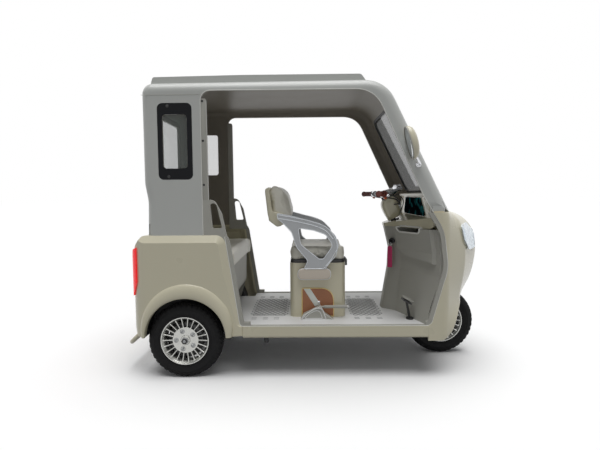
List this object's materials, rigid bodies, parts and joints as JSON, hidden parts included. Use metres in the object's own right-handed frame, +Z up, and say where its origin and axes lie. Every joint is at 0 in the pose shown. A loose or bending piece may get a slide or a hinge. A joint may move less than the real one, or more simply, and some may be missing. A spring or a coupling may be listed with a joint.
{
  "type": "canopied three-wheeled electric mobility scooter",
  "caption": "Canopied electric mobility scooter with open sides, driver seat over a lidded box, passenger bench, handlebar steering and slotted alloy wheels.",
  "frame": {"origin": "centre of the bounding box on the ground", "axes": "+X forward, +Y left, +Z up"},
  "size_m": [2.157, 1.134, 1.719],
  "materials": {
    "silver_shell": "satin moulded shell",
    "cream_panel": "gloss painted panel",
    "grey_trim": "grained moulded plastic",
    "black_plastic": "matte moulded plastic",
    "black_steel": "satin black paint",
    "cast_aluminium": "blasted casting",
    "chrome": "polished",
    "wheel_alloy": "machined and polished",
    "tyre": "ribbed rubber",
    "rubber_seal": "matte rubber",
    "clear_glass": "clear",
    "lamp_lens": "clear faceted lens",
    "red_lens": "clear red lens",
    "dark_gloss": "dark gloss panel",
    "grip_rubber": "brown ribbed rubber",
    "cream_leather": "padded leatherette",
    "battery_case": "plain case"
  },
  "bodies": {
    "chassis": {"arch_flares": "cream_panel", "armrest_pads": "cream_panel", "armrests": "cast_aluminium", "backrest_pad": "cream_leather", "backrest_shell": "cream_panel", "battery_block": "battery_case", "bench_back": "cream_leather", "bench_base": "grey_trim", "bench_cushion": "cream_leather", "brake_pedal": "black_plastic", "chassis_frame": "black_steel", "cowl": "cream_panel", "dash": "cream_panel", "deck": "grey_trim", "display_panel": "dark_gloss", "door_trims": "grey_trim", "drive_motor": "cast_aluminium", "grab_rails": "grey_trim", "headlamps": "lamp_lens", "ignition_key": "chrome", "leaf_springs": "black_steel", "leg_shield": "grey_trim", "mirrors": "cream_panel", "neck_ring": "black_plastic", "parking_brake": "grey_trim", "rear_axle": "black_steel", "rear_body": "cream_panel", "rear_bumper": "cream_panel", "rear_cabin": "silver_shell", "roof": "silver_shell", "roof_cap": "silver_shell", "seat_box": "cream_panel", "seat_hinge": "black_steel", "sills": "cream_panel", "tail_lamps": "red_lens", "wheel_liners": "black_plastic", "window_frames": "black_plastic", "window_panes": "clear_glass", "windscreen": "clear_glass", "windscreen_seal": "rubber_seal", "wiper": "black_plastic"},
    "steering": {"fork": "black_steel", "column_cover": "cream_panel", "handlebar": "chrome", "grips": "grip_rubber"},
    "front_wheel": {"front_tyre": "tyre", "front_rim": "wheel_alloy"},
    "rear_wheel_left": {"rear_left_tyre": "tyre", "rear_left_rim": "wheel_alloy"},
    "rear_wheel_right": {"rear_right_tyre": "tyre", "rear_right_rim": "wheel_alloy"},
    "seat_lid": {"seat_lid": "black_plastic", "seat_cushion": "cream_leather"}
  },
  "joints": [
    {"name": "steer", "type": "hinge", "parent": "chassis", "child": "steering", "pos_m": [0.6399, 0, 0.7], "axis": [-0.4067, 0, 0.9135], "range_deg": [-32, 32]},
    {"name": "front_wheel_spin", "type": "hinge", "parent": "steering", "child": "front_wheel", "pos_m": [0.8635, 0, 0.215], "axis": [0, 1, 0], "continuous": true},
    {"name": "rear_wheel_left_spin", "type": "hinge", "parent": "chassis", "child": "rear_wheel_left", "pos_m": [-0.7065, 0.392, 0.215], "axis": [0, 1, 0], "continuous": true},
    {"name": "rear_wheel_right_spin", "type": "hinge", "parent": "chassis", "child": "rear_wheel_right", "pos_m": [-0.7065, -0.392, 0.215], "axis": [0, 1, 0], "continuous": true},
    {"name": "seat_lid_hinge", "type": "hinge", "parent": "chassis", "child": "seat_lid", "pos_m": [0.235, 0, 0.6395], "axis": [0, 1, 0], "range_deg": [0, 75]}
  ]
}
